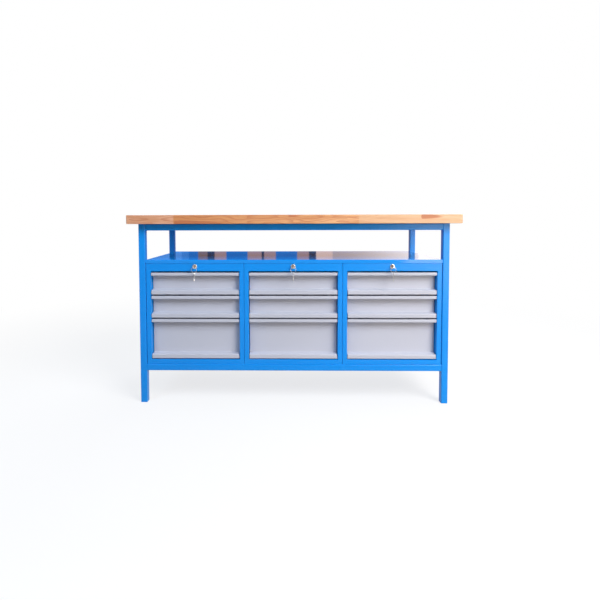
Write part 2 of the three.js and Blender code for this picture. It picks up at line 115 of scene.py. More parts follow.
class Finish:
    def __init__(self, name, **plain):
        self.material = bpy.data.materials.new(name)
        self.material.use_nodes = True
        self.tree = self.material.node_tree
        self.shader = self.tree.nodes["Principled BSDF"]
        self.place = self.node("ShaderNodeTexCoord", {}, {}).out("Object")
        for socket, value in plain.items():
            self.shader.inputs[socket].default_value = value

    def node(self, kind, settings, sockets, out=0):
        made = self.tree.nodes.new(kind)
        for key, value in settings.items():
            if key == "stops":
                ramp = made.color_ramp
                for element, (at, colour) in zip(ramp.elements, (value[0], value[-1])):
                    element.position = at
                    element.color = colour
                for at, colour in value[1:-1]:
                    ramp.elements.new(at).color = colour
            elif key == "steps":
                made.color_ramp.interpolation = value
            else:
                setattr(made, key, value)
        for key, value in sockets.items():
            self.plug(made.inputs[key], value)
        return None if out is None else Value(self, made.outputs[out])

    def plug(self, socket, value):
        if isinstance(value, Value):
            self.tree.links.new(value.socket, socket)
        else:
            socket.default_value = value

    def feed(self, name, value):
        self.plug(self.shader.inputs[name], value)

    def axes(self):
        split = self.node("ShaderNodeSeparateXYZ", {}, {0: self.place})
        return split.out("X"), split.out("Y"), split.out("Z")

    def stretched(self, *scale):
        return self.node("ShaderNodeMapping", {}, {"Vector": self.place, "Scale": scale})

    def noise(self, where, scale=1.0, detail=2.0, rough=0.5):
        sockets = {"Vector": where, "Scale": scale, "Detail": detail, "Roughness": rough}
        return self.node("ShaderNodeTexNoise", {}, sockets)

    def random(self, seed):
        return self.node("ShaderNodeTexWhiteNoise", {"noise_dimensions": "1D"}, {"W": seed})

    def mix(self, factor, low, high, blend="MIX"):
        kinds = {"data_type": "RGBA", "blend_type": blend}
        return self.node("ShaderNodeMix", kinds, {0: factor, 6: low, 7: high}, 2)

    def ramp(self, factor, stops, steps="LINEAR"):
        return self.node("ShaderNodeValToRGB", {"stops": stops, "steps": steps}, {0: factor})

    def bump(self, height, strength, distance):
        sockets = {"Height": height, "Strength": strength, "Distance": distance}
        self.feed("Normal", self.node("ShaderNodeBump", {}, sockets))


# Powder coat: colour drifts with film thickness, the surface has orange peel, handling leaves faint rubs
coat = {
    "blue": screen(2, 138, 228), "grey": screen(185, 187, 199),
    "frame": {"gloss": 0.30, "peel": 420, "depth": 0.10, "index": 1.42},
    "shelf": {"gloss": 0.10, "peel": 420, "depth": 0.03, "index": 1.5},
    "drawer": {"gloss": 0.42, "peel": 900, "depth": 0.12, "index": 1.5},
    "drift": 2.2, "thin": 0.93, "thick": 1.06,
    "speck": 170, "speckTone": 0.82, "speckShare": 0.10, "speckDull": 0.10,
    "rub": (14, 140, 140), "rubEdge": (0.60, 0.78), "rubTone": 1.35, "rubShare": 0.10, "rubDull": 0.06,
    "peelHeight": 0.0006,
}


def powderCoat(name, colour, film):
    finish = Finish(name, IOR=film["index"])
    drift = finish.noise(finish.place, coat["drift"])
    speck = finish.noise(finish.place, coat["speck"], detail=3.0)
    tone = finish.mix(drift, dim(colour, coat["thin"]), dim(colour, coat["thick"]))
    rub = finish.noise(finish.stretched(*coat["rub"]), detail=3.0).ease(*coat["rubEdge"])
    tone = finish.mix(rub * coat["rubShare"], tone, dim(colour, coat["rubTone"]))
    finish.feed("Base Color", finish.mix(speck * coat["speckShare"], tone, dim(colour, coat["speckTone"])))
    finish.feed("Roughness", film["gloss"] + (speck - 0.5) * coat["speckDull"] + rub * coat["rubDull"])
    peel = finish.noise(finish.place, film["peel"], detail=1.5)
    finish.bump(peel, film["depth"], coat["peelHeight"])
    return finish.material


blueCoat = powderCoat("blueCoat", coat["blue"], coat["frame"])
shelfCoat = powderCoat("shelfCoat", coat["blue"], coat["shelf"])
greyCoat = powderCoat("greyCoat", coat["grey"], coat["drawer"])

# Beech staves: each has its own tone, rings about its own heart, fine pores and finger joints at its ends
beech = {
    "index": 1.48, "length": 1.5, "halfDepth": 0.3, "centre": 0.85,
    "stave": 0.0430, "shortest": 0.30, "spread": 0.34, "shift": 1.7,
    "finger": 0.0085, "reach": 0.0060, "edgeReach": 0.5,
    # seeds of the random draws: a step per row, a step per length, a start
    "lengthSeed": (7.31, 2.7), "staveSeeds": ((13.1, 3.7, 0.4), (5.3, 11.9, 8.2)),
    "tones": (screen(207, 150, 112), screen(220, 164, 112), screen(229, 180, 130), screen(232, 196, 156)),
    # the front edge's colours by the share of its length
    "edgeTones": (
        (0.0, screen(227, 175, 143)), (0.142, screen(227, 175, 143)),
        (0.144, screen(205, 136, 80)), (0.694, screen(225, 172, 124)),
        (0.696, screen(215, 171, 131)), (1.0, screen(219, 183, 147)),
    ),
    "calmFrom": (0.694, 0.696),
    "wander": (1.6, 9, 9), "heartSpread": (0.16, 0.20), "heartSway": (0.030, 0.024), "slope": 0.16,
    "ring": screen(190, 124, 76), "ringWidth": 0.0062, "ringSway": 2, "ringEdge": (0.25, 0.95),
    "figure": (6.5, 34, 62), "figureEdge": (0.42, 0.66),
    "flame": (3.4, 10, 26), "flameCount": 10, "flameRise": 45, "flameEdge": (0.40, 0.96),
    # how strongly each shows: on every stave, added on the lively lengths, added on the calm one
    "ringShare": (0.24, 0.16, -0.10), "figureShare": (0.42, 0.16, -0.22), "flameShare": (0.0, 0.55, 0.10),
    "grain": (5, 210, 210), "grainEdge": (0.45, 0.75), "grainShare": 0.22,
    "heart": screen(178, 104, 66),
    "patchStart": 0.004, "patchSway": 1.6, "patchEdge": (0.3, 1.2), "patchShare": 0.82,
    # where each heartwood patch starts along X, its height, its reach along the grain, half its thickness
    "patches": (
        (0.570, 0.8605, 0.085, 0.0100), (-0.530, 0.8355, 0.260, 0.0100), (-0.02, 0.8650, 0.050, 0.0060),
    ),
    "pore": screen(168, 108, 66), "poreSize": (150, 1300, 1300), "poreEdge": (0.66, 0.74), "poreShare": 0.35,
    "glue": screen(150, 98, 62), "glueEdge": (0.00015, 0.0006), "glueShare": 0.45,
    "gloss": 0.40, "grainDull": 0.14, "glueDull": 0.08, "relief": (0.5, 0.4, 0.8), "bump": (0.16, 0.0005),
}


def beechTop():
    finish = Finish("beechStaves", IOR=beech["index"])
    x, y, z = finish.axes()
    strip = (y + beech["halfDepth"]) / beech["stave"]
    row = strip.floor()
    rowStep, start = beech["lengthSeed"]
    chance = finish.random(row * rowStep + start)
    length = chance * beech["spread"] + beech["shortest"]
    fingers = (z / beech["finger"]).calc("PINGPONG", 0.5) * beech["reach"]
    along = (x + fingers + chance * beech["shift"]) / length
    cell = along.floor()
    own, other = (finish.random(row * rowStep + cell * cellStep + start)
                  for rowStep, cellStep, start in beech["staveSeeds"])
    count = len(beech["tones"]) - 1
    tone = finish.ramp(own, [(spot / count, colour) for spot, colour in enumerate(beech["tones"])])
    # the stave along the front edge is pieced from three lengths, and the last one is calm
    share = (x + fingers * beech["edgeReach"]) / beech["length"] + 0.5
    front = row.below(0.5)
    tone = finish.mix(front, tone, finish.ramp(share, beech["edgeTones"]))
    calm = front * share.ease(*beech["calmFrom"])
    lively = front - calm

    def weight(shares):
        everywhere, onLively, onCalm = shares
        return everywhere + lively * onLively + calm * onCalm

    # rings are cylinders along X about a heart that differs from stave to stave
    wander = finish.noise(finish.stretched(*beech["wander"])) - 0.5
    spreadY, spreadZ = beech["heartSpread"]
    swayY, swayZ = beech["heartSway"]
    across = y + (own - 0.5) * spreadY + wander * swayY
    lean = x * (own - other) * beech["slope"]
    upward = z - beech["centre"] + (other - 0.5) * spreadZ + wander * swayZ + lean
    radius = (across * across + upward * upward).calc("SQRT")
    ring = (radius / beech["ringWidth"] + wander * beech["ringSway"]).calc("FRACT").ease(*beech["ringEdge"])
    tone = finish.mix(ring * weight(beech["ringShare"]), tone, beech["ring"])
    figure = finish.noise(finish.stretched(*beech["figure"]), detail=3.0, rough=0.6)
    figure = figure.ease(*beech["figureEdge"])
    tone = finish.mix(figure * weight(beech["figureShare"]), tone, beech["ring"])
    # flames along the front edge are the contour lines of a slow noise
    slow = finish.noise(finish.stretched(*beech["flame"]), detail=1.0)
    flame = (slow * beech["flameCount"] + z * beech["flameRise"]).calc("FRACT").ease(*beech["flameEdge"])
    tone = finish.mix(flame * weight(beech["flameShare"]), tone, beech["heart"])
    grain = finish.noise(finish.stretched(*beech["grain"]), detail=4.0)
    tone = finish.mix(grain.ease(*beech["grainEdge"]) * beech["grainShare"], tone, beech["ring"])
    # heartwood patches start at a joint and taper along the grain
    for start, height, reach, thick in beech["patches"]:
        after = ((x - start).calc("MAXIMUM", 0.0) / reach).calc("POWER", 2.0)
        before = (start - x).calc("MAXIMUM", 0.0) / beech["patchStart"]
        off = ((z - height) / thick).calc("POWER", 2.0)
        outside = (after + before + off + wander * beech["patchSway"]).ease(*beech["patchEdge"])
        tone = finish.mix((1 - outside) * front * beech["patchShare"], tone, beech["heart"])
    pore = finish.noise(finish.stretched(*beech["poreSize"]), detail=1.0).ease(*beech["poreEdge"])
    tone = finish.mix(pore * beech["poreShare"], tone, beech["pore"])
    part = along.calc("FRACT")
    endGap = part.calc("MINIMUM", 1 - part) * length
    side = strip.calc("FRACT")
    sideGap = side.calc("MINIMUM", 1 - side) * beech["stave"]
    glue = 1 - endGap.calc("MINIMUM", sideGap).ease(*beech["glueEdge"])
    finish.feed("Base Color", finish.mix(glue * (1 - front) * beech["glueShare"], tone, beech["glue"]))
    finish.feed("Roughness", beech["gloss"] + grain * beech["grainDull"] + glue * beech["glueDull"])
    grainRise, poreDrop, glueDrop = beech["relief"]
    finish.bump(grain * grainRise - pore * poreDrop - glue * glueDrop, *beech["bump"])
    return finish.material


beechStaves = beechTop()

# Bare metals: zinc sheet with a faint spangle, nickel and brass with a brushed surface
plate = {
    "zinc": screen(196, 199, 202), "drawn": (30, 30, 420), "drawnTones": (0.80, 1.08), "drawnShare": 0.5,
    "spangle": 90.0, "spangleShare": 0.06, "zincGloss": 0.30, "drawnDull": 0.22, "zincBump": (0.05, 0.0003),
    "nickel": screen(232, 230, 226), "nickelGloss": 0.20,
    "brass": screen(222, 184, 156), "brassGloss": 0.32, "plugBack": -0.2327,
    "brushed": (900, 120, 900), "brushedDull": 0.14, "brushedBump": (0.06, 0.0002),
    "stain": 240, "stainTones": (0.84, 1.05), "stainShare": 0.5,
}


def zincPlate():
    finish = Finish("zincPlate", Metallic=1.0)
    drawn = finish.noise(finish.stretched(*plate["drawn"]), detail=3.0)
    sockets = {"Vector": finish.place, "Scale": plate["spangle"]}
    spangle = finish.node("ShaderNodeTexVoronoi", {}, sockets).out("Color")
    dark, light = (dim(plate["zinc"], factor) for factor in plate["drawnTones"])
    tone = finish.mix(drawn * plate["drawnShare"], dark, light)
    finish.feed("Base Color", finish.mix(plate["spangleShare"], tone, spangle, "OVERLAY"))
    finish.feed("Roughness", plate["zincGloss"] + drawn * plate["drawnDull"])
    finish.bump(drawn, *plate["zincBump"])
    return finish.material


def brightPlate(name, colour, gloss, rear=None):
    finish = Finish(name, Metallic=1.0)
    brushed = finish.noise(finish.stretched(*plate["brushed"]), detail=3.0)
    stain = finish.noise(finish.place, plate["stain"])
    dark, light = (dim(colour, factor) for factor in plate["stainTones"])
    tone = finish.mix(stain * plate["stainShare"], dark, light)
    if rear:
        # the rod behind the lock plug is steel
        x, y, z = finish.axes()
        tone = finish.mix(y.above(plate["plugBack"]), tone, rear)
    finish.feed("Base Color", tone)
    finish.feed("Roughness", gloss + brushed * plate["brushedDull"])
    finish.bump(brushed, *plate["brushedBump"])
    return finish.material


zincSteel = zincPlate()
nickelPlate = brightPlate("nickelPlate", plate["nickel"], plate["nickelGloss"])
brassPlug = brightPlate("brassPlug", plate["brass"], plate["brassGloss"], plate["zinc"])
print("finishes made")


# rows of points round a shape: quads join each row to the next, one face closes each end row
def wrapped(grid, loop=False):
    rows, count = grid.shape[:2]
    index = np.arange(rows * count).reshape(rows, count)
    low = index if loop else index[:-1]
    high = np.roll(index, -1, 0) if loop else index[1:]
    quads = np.stack((low, np.roll(low, -1, 1), np.roll(high, -1, 1), high), -1).reshape(-1, 4).tolist()
    caps = [] if loop else [index[0].tolist(), index[-1].tolist()]
    return grid.reshape(-1, 3), quads + caps


def paint(mesh, material):
    mesh.materials.clear()
    mesh.materials.append(material)


def boxCorners(node):
    return tuple(np.array(corner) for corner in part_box(node))


# metres within which points merge, degrees within which faces are one, weight of wide faces in the shading
joining = {"merge": 1e-6, "flat": 0.5, "weight": 100, "bevelSteps": 2}


# an object with its finish, its body and its slot; edge is the angle above which an edge stays sharp
def finished(mesh, name, material, body, replaced, edge):
    mesh.shade_smooth()
    mesh.set_sharp_from_angle(angle=math.radians(edge))
    paint(mesh, material)
    made = bpy.data.objects.new(name, mesh)
    scene.collection.objects.link(made)
    # wide faces keep their own normal beside a bend
    level = made.modifiers.new("flatFaces", "WEIGHTED_NORMAL")
    level.weight = joining["weight"]
    level.keep_sharp = True
    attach(made, body)
    if replaced:
        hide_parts(*replaced)
    return made


# one object from several wrapped shapes, doubles merged and faces turned outwards
def makePiece(name, shapes, material, body, replaced=(), edge=40):
    starts = np.cumsum([0] + [len(points) for points, faces in shapes]).tolist()
    points = np.vstack([points for points, faces in shapes])
    faces = [[corner + start for corner in face] for start, shape in zip(starts, shapes) for face in shape[1]]
    mesh = bpy.data.meshes.new(name)
    mesh.from_pydata(points.tolist(), [], faces)
    work = bmesh.new()
    work.from_mesh(mesh)
    bmesh.ops.remove_doubles(work, verts=work.verts, dist=joining["merge"])
    bmesh.ops.recalc_face_normals(work, faces=work.faces)
    work.to_mesh(mesh)
    work.free()
    finished(mesh, name, material, body, replaced, edge)


# a merged copy of a CAD node, so that its bends shade as bends
def dressedCopy(node, material, body, edge=50, soften=0.0):
    mesh = bpy.data.meshes.new("skin_" + node)
    work = bmesh.new()
    work.from_mesh(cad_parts[node].data)
    bmesh.ops.remove_doubles(work, verts=work.verts, dist=joining["merge"])
    limit = math.radians(joining["flat"])
    bmesh.ops.dissolve_limit(work, angle_limit=limit, verts=work.verts, edges=work.edges)
    work.to_mesh(mesh)
    work.free()
    made = finished(mesh, "skin_" + node, material, body, (node,), edge)
    if soften:
        soft = made.modifiers.new("softEdges", "BEVEL")
        soft.width = soften
        soft.segments = joining["bevelSteps"]
        soft.limit_method = "ANGLE"
        soft.angle_limit = math.radians(edge)
        made.modifiers.move(1, 0)  # the bevel comes before the shading


def unit(vectors):
    return vectors / np.linalg.norm(vectors, axis=-1, keepdims=True)


# a broken line with each inner corner replaced by an arc that touches both its sides
def roundedLine(corners, radius, steps):
    corners = np.array(corners, float)
    back = unit(corners[:-2] - corners[1:-1])
    ahead = unit(corners[2:] - corners[1:-1])
    half = np.arccos(np.clip((back * ahead).sum(1), -1, 1)) / 2
    middle = corners[1:-1] + unit(back + ahead) * (radius / np.sin(half))[:, None]
    start = corners[1:-1] + back * (radius / np.tan(half))[:, None] - middle
    side = np.sign(back[:, 0] * ahead[:, 1] - back[:, 1] * ahead[:, 0])
    turn = -side[:, None] * (np.pi - 2 * half)[:, None] * np.linspace(0, 1, steps + 1)[None]
    spun = np.stack((
        np.cos(turn) * start[:, :1] - np.sin(turn) * start[:, 1:],
        np.sin(turn) * start[:, :1] + np.cos(turn) * start[:, 1:],
    ), -1) + middle[:, None]
    return np.vstack((corners[:1], spun.reshape(-1, 2), corners[-1:]))


# the outline of a folded sheet: its middle line moved half a thickness to each side, thinner at free edges
def sheetOutline(corners, thickness, radius, steps, ease, inset=0.0):
    line = roundedLine(corners, radius, steps)
    first = unit(line[1] - line[0])
    last = unit(line[-1] - line[-2])
    head = line[0] + first * inset
    tail = line[-1] - last * inset
    line = np.vstack((head, head + first * ease, line[1:-1], tail - last * ease, tail))
    step = unit(np.diff(line, axis=0))
    into = np.vstack((step[:1], step))
    out = np.vstack((step, step[-1:]))
    both = unit(into + out)
    normal = np.stack((-both[:, 1], both[:, 0]), -1)
    stretch = (both * into).sum(1)
    half = np.full(len(line), thickness / 2 - inset)
    half[[0, -1]] -= ease
    offset = normal * (half / stretch)[:, None]
    return np.vstack((line - offset, (line + offset)[::-1]))


# outlines set at stations along one axis; the two numbers of a point go to the other axes in order
def pulled(outlines, stations, axis):
    outlines = np.array(outlines)
    grid = np.empty((*outlines.shape[:2], 3))
    grid[..., axis] = np.array(stations)[:, None]
    grid[..., [other for other in range(3) if other != axis]] = outlines
    return grid


# a folded sheet: its outline carried straight along an axis, drawn in a little at both cut ends
def sheetPiece(corners, thickness, radius, ends, axis, steps=6, ease=0.0003):
    full = sheetOutline(corners, thickness, radius, steps, ease)
    slim = sheetOutline(corners, thickness, radius, steps, ease, ease)
    low, high = ends
    return wrapped(pulled([slim, full, full, slim], [low, low + ease, high - ease, high], axis))


# a rectangle about a centre, its corners rounded, as one closed loop
def roundedLoop(centre, halves, radius, steps=6):
    turn = np.linspace(0, np.pi / 2, steps + 1)
    angle = (turn[None] + np.arange(4)[:, None] * np.pi / 2).ravel()
    signs = np.repeat(np.array(((1, 1), (-1, 1), (-1, -1), (1, -1))), steps + 1, axis=0)
    arc = np.stack((np.cos(angle), np.sin(angle)), -1) * radius
    return np.array(centre) + signs * (np.array(halves) - radius) + arc


# a body of revolution about a line along Y through (x, z), from radius and Y stations
def turnedPiece(stations, x, z, count=64):
    angle = np.linspace(0, 2 * np.pi, count, endpoint=False)
    radius, along = stations[:, :1], stations[:, 1:]
    grid = np.empty((len(stations), count, 3))
    grid[..., 0] = x + radius * np.cos(angle)
    grid[..., 1] = along
    grid[..., 2] = z + radius * np.sin(angle)
    return grid


# Worktop: loops of the slab's outline, drawn in along a quarter circle at the lower and upper edges
slab = {"edge": 0.0022, "corner": 0.0030, "tighten": 0.5, "steps": 6}
low, high = boxCorners("worktop")
arc = np.linspace(0, np.pi / 2, slab["steps"] + 1)
inset = slab["edge"] * (1 - np.sin(arc))
rise = slab["edge"] * (1 - np.cos(arc))
insets = np.concatenate((inset, inset[::-1]))
heights = np.concatenate((low[2] + rise, (high[2] - rise)[::-1]))
middle = (low + high)[:2] / 2
halves = (high - low)[:2] / 2
loops = [roundedLoop(middle, halves - drawn, slab["corner"] - drawn * slab["tighten"]) for drawn in insets]
makePiece("beech_worktop", [wrapped(pulled(loops, heights, 2))], beechStaves, "bench", ("worktop",))

# Tubes: the outer loop goes out along the tube, turns over the cut end and comes back inside
tube = {"wall": 0.002, "corner": 0.0032, "cut": 0.0004, "foot": 0.003}


def tubePiece(node):
    low, high = boxCorners(node)
    axis = int(np.argmax(high - low))
    flat = [other for other in range(3) if other != axis]
    centre = (low + high)[flat] / 2
    halves = (high - low)[flat] / 2
    outer = roundedLoop(centre, halves, tube["corner"])
    eased = roundedLoop(centre, halves - tube["cut"], tube["corner"] - tube["cut"] / 2)
    inner = roundedLoop(centre, halves - tube["wall"], tube["corner"] - tube["wall"] / 2)
    start, end, cut = low[axis], high[axis], tube["cut"]
    upright = axis == 2  # a leg is a cup with the foot plate as its floor, a rail is open at both ends
    inside = start + tube["foot"] if upright else start
    loops = [eased, outer, outer, eased, inner, inner]
    stations = [start, start + cut, end - cut, end, end, inside]
    return wrapped(pulled(loops, stations, axis), not upright)


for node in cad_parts:
    if node.startswith(("leg_", "rail_")):
        makePiece("tube_" + node, [tubePiece(node)], blueCoat, "bench", (node,))
print("frame tubes made")

# Weld beads: a rippled round bead round three sides of each rail end, thinning to nothing at both its ends
weld = {
    "size": 0.0019, "ripple": 0.16, "pitch": 0.0030, "taper": 0.004, "thinnest": 0.02,
    "bendSteps": 8, "points": 150, "around": 8,
}


def weldBead(node, end, faceSign):
    low, high = boxCorners(node)
    axis = int(np.argmax(high - low))
    flat = [other for other in range(3) if other != axis]
    centre = (low + high)[flat] / 2
    half = float((high - low)[flat[0]] / 2)
    bare = half - tube["corner"]
    # the open front of the U faces out of the bench, where the weld is ground flush
    path = np.array(((-bare, -half), (half, -half), (half, half), (-bare, half)))
    line = roundedLine(path, tube["corner"], weld["bendSteps"])
    reach = np.concatenate(([0], np.cumsum(np.linalg.norm(np.diff(line, axis=0), axis=1))))
    spot = np.linspace(0, reach[-1], weld["points"])
    line = np.stack([np.interp(spot, reach, line[:, part]) for part in (0, 1)], -1)
    tangent = unit(np.gradient(line, axis=0))
    normal = np.stack((tangent[:, 1], -tangent[:, 0]), -1)
    taper = np.clip(np.minimum(spot, reach[-1] - spot) / weld["taper"], weld["thinnest"], 1) ** 0.5
    size = weld["size"] * taper * (1 + weld["ripple"] * np.sin(2 * np.pi * spot / weld["pitch"]))
    turn = np.linspace(0, 2 * np.pi, weld["around"], endpoint=False)
    side = line[:, None] + normal[:, None] * (size[:, None] * np.cos(turn))[..., None]
    side = side * np.array((faceSign, 1.0)) if flat[0] != 2 else side
    grid = np.empty((weld["points"], weld["around"], 3))
    grid[..., flat[0]] = centre[0] + side[..., 0]
    grid[..., flat[1]] = centre[1] + side[..., 1]
    grid[..., axis] = (low[axis] if end < 0 else high[axis]) + size[:, None] * np.sin(turn)
    return wrapped(grid)


beads = []
for level in ("bottom", "top"):
    for name, inward in (("front", 1.0), ("rear", -1.0), ("left", 1.0), ("right", -1.0)):
        beads += [weldBead(f"rail_{level}_{name}", end, inward) for end in (-1, 1)]
makePiece("frame_welds", beads, blueCoat, "bench", edge=70)

# Shelf cover: one sheet folded down at front and rear, with a plate closing each end
cover = {"thickness": 0.0015, "bend": 0.0014, "lip": 0.016, "endEase": 0.0002}
low, high = boxCorners("shelf_cover")
half = cover["thickness"] / 2
top = high[2] - half
lipFoot = high[2] - cover["lip"]
front, rear = low[1] + half, high[1] - half
folded = sheetPiece(
    [(front, lipFoot), (front, top), (rear, top), (rear, lipFoot)],
    cover["thickness"], cover["bend"], (low[0], high[0]), 0,
)
setBack = cover["bend"] + cover["thickness"]
halfway = (lipFoot + top) / 2
endLine = [(low[1] + setBack, halfway), (high[1] - setBack, halfway)]
endSpans = ((low[0], low[0] + cover["thickness"]), (high[0] - cover["thickness"], high[0]))
ends = [sheetPiece(endLine, top - lipFoot, 0, span, 0, ease=cover["endEase"]) for span in endSpans]
makePiece("shelf_sheet", [folded] + ends, shelfCoat, "bench", ("shelf_cover",))

for place in places:
    dressedCopy(f"carcass_{place}", blueCoat, "bench")
print("carcasses made")

# Drawer fronts: one folded sheet with a grip lip above, a recessed panel and a ledge with a sloped top below
fold = {
    "thickness": 0.0015, "bend": 0.0020, "gripLip": 0.014, "gripHem": 0.009,
    "ledgeFace": 0.019, "ledgeRise": 0.0045,
}
screw = {
    "head": 0.0042, "height": 0.0022, "eye": 0.0001, "steps": 7, "around": 24,
    "recess": 0.0011, "armSlope": 3, "armStart": 1.6, "armReach": 0.62,
    "wall": 0.0012, "inset": 0.045, "drop": 0.018, "rise": 0.0288, "spread": (-1, -0.33, 0.33, 1),
}


def frontSheet(node):
    low, high = boxCorners(node)
    half = fold["thickness"] / 2
    face, back = low[1] + half, high[1] - half
    underLip = high[2] - fold["gripLip"] + half
    return sheetPiece([
        (low[1] + fold["gripHem"], underLip),
        (face, underLip),
        (face, high[2] - half),
        (back, high[2] - half),
        (back, low[2] + fold["ledgeFace"] + fold["ledgeRise"] - half),
        (face, low[2] + fold["ledgeFace"] - half),
        (face, low[2] + half),
        (high[1], low[2] + half),
    ], fold["thickness"], fold["bend"], (low[0], high[0]), 0)


# pan heads on the inside of the tray's front wall: a quarter of an ellipse turned about Y, sunk where the
# cosine of twice the angle is large, which makes the cross
def screwHead(x, y, z):
    arc = np.linspace(np.pi / 2, 0, screw["steps"])
    dome = np.stack((screw["head"] * np.sin(arc), y + screw["height"] * np.cos(arc)), -1)
    grid = turnedPiece(np.vstack(((screw["eye"], y), dome)), x, z, screw["around"])
    angle = np.arctan2(grid[..., 2] - z, grid[..., 0] - x)
    reach = np.hypot(grid[..., 2] - z, grid[..., 0] - x)
    arm = np.clip(np.abs(np.cos(2 * angle)) * screw["armSlope"] - screw["armStart"], 0, 1)
    cross = arm * (reach < screw["head"] * screw["armReach"])
    grid[2:, :, 1] -= screw["recess"] * cross[2:]
    return wrapped(grid)


for place in places:
    for level in levels:
        body = f"drawer_{place}_{level}"
        node = f"drawer_front_{place}_{level}"
        makePiece("sheet_" + node, [frontSheet(node)], greyCoat, body, (node,))
        tray = f"drawer_tray_{place}_{level}"
        low, high = boxCorners(tray)
        middle = (low[0] + high[0]) / 2
        reach = (high[0] - low[0]) / 2 - screw["inset"]
        rows = (low[2] + screw["rise"], high[2] - screw["drop"])
        heads = [screwHead(middle + side * reach, low[1] + screw["wall"], row)
                 for side in screw["spread"] for row in rows]
        makePiece(f"front_screws_{place}_{level}", heads, zincSteel, body)
        paint(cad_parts[tray].data, greyCoat)
print("drawers made")

# Locks: a domed rosette on a bored barrel, with the hexagon nut that holds it behind the fascia
lock = {
    "plug": 0.0063, "mouth": 0.0006, "eye": 0.0016, "dome": 0.0026, "domeSteps": 8, "rim": 0.0003,
    "lean": 0.0002, "fascia": 0.0035, "barrel": 0.009, "barrelEase": 0.0005,
    "flats": 0.011, "corner": 1.06, "nutBack": 0.0018, "nutDepth": 0.004, "nutEase": 0.001,
    "nutBite": 0.0002, "nutPoints": 72, "keyEdge": 40, "keySoft": 0.0003, "plugEdge": 30,
}


# the barrel is a profile turned about Y; the nut reaches its flat's distance over the cosine of the angle
# from that flat
def housing(node):
    low, high = boxCorners(node)
    x = float((low + high)[0] / 2)
    z = float((low + high)[2] / 2)
    edge = float((high - low)[0] / 2)
    front, back = low[1], high[1]
    fascia = front + lock["fascia"]
    plug, barrel = lock["plug"], lock["barrel"]
    eye = plug + lock["eye"]
    arc = np.linspace(0, np.pi / 2, lock["domeSteps"])
    domeRadius = eye + (edge - lock["rim"] - eye) * np.sin(arc)
    dome = np.stack((domeRadius, front + lock["dome"] * (1 - np.cos(arc))), -1)
    stations = np.vstack((
        (plug, front + lock["mouth"]), (plug + lock["mouth"], front), dome,
        (edge, front + lock["dome"] + lock["rim"]), (edge - lock["lean"], fascia), (barrel, fascia),
        (barrel, back - lock["barrelEase"]), (barrel - lock["barrelEase"], back), (plug, back),
    ))
    body = wrapped(turnedPiece(stations, x, z), True)
    angle = np.linspace(0, 2 * np.pi, lock["nutPoints"], endpoint=False)
    facing = (angle + np.pi / 6) % (np.pi / 3) - np.pi / 6
    flat = lock["flats"] / np.cos(facing)
    eased = np.minimum(flat, lock["flats"] * lock["corner"])
    bore = np.full_like(angle, barrel - lock["nutBite"])
    nutFront = fascia + lock["nutBack"]
    nutRear = nutFront + lock["nutDepth"]
    reach = np.stack((flat, flat, eased, bore, bore))
    nut = np.empty((*reach.shape, 3))
    nut[..., 0] = x + reach * np.cos(angle)
    nut[..., 1] = np.array((nutFront, nutRear - lock["nutEase"], nutRear, nutRear, nutFront))[:, None]
    nut[..., 2] = z + reach * np.sin(angle)
    return [body, wrapped(nut, True)]


# Key ring: a round wire carried about a circle, open at its side, its cut ends rounded off
ring = {"wire": 0.0008, "split": 0.0006, "blunt": 0.5, "round": 0.35, "points": 128, "around": 12}


def keyRing(node):
    low, high = boxCorners(node)
    centre = (low + high) / 2
    radius = float((high - low)[2] / 2) - ring["wire"]
    gap = ring["split"] / radius / 2
    angle = np.linspace(gap, 2 * np.pi - gap, ring["points"])
    step = np.arange(ring["points"])
    thin = np.clip(np.minimum(step, step[::-1]) * ring["round"] + ring["blunt"], 0, 1)
    turn = np.linspace(0, 2 * np.pi, ring["around"], endpoint=False)
    reach = radius + ring["wire"] * thin[:, None] * np.cos(turn)
    grid = np.empty((ring["points"], ring["around"], 3))
    grid[..., 0] = centre[0] + reach * np.cos(angle)[:, None]
    grid[..., 1] = centre[1] + ring["wire"] * thin[:, None] * np.sin(turn)
    grid[..., 2] = centre[2] + reach * np.sin(angle)[:, None]
    return wrapped(grid)


for place in places:
    node = f"lock_housing_{place}"
    makePiece("rosette_" + place, housing(node), nickelPlate, "bench", (node,))
    node = f"key_ring_{place}"
    makePiece("wire_" + node, [keyRing(node)], nickelPlate, node, (node,))
    for node in (f"key_{place}", f"spare_key_{place}"):
        dressedCopy(node, nickelPlate, node, lock["keyEdge"], lock["keySoft"])
    node = f"lock_plug_{place}"
    dressedCopy(node, brassPlug, node, lock["plugEdge"])
    for node in (f"lock_bar_{place}", f"runner_rack_{place}_l", f"runner_rack_{place}_r"):
        paint(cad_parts[node].data, zincSteel)
print("locks and keys made")


# Floor: white to the camera and in gloss, keeping part of the real shadow near the bench
stage = {
    "half": 30, "tiles": 4, "rough": 0.9, "seen": 0.90, "bounce": 0.30, "patch": 3.0, "patchShare": 0.02,
    "shade": 0.24, "shadeEdge": (1.2, 3.2), "ahead": (0.28, 0.60), "dim": 0.55,
}


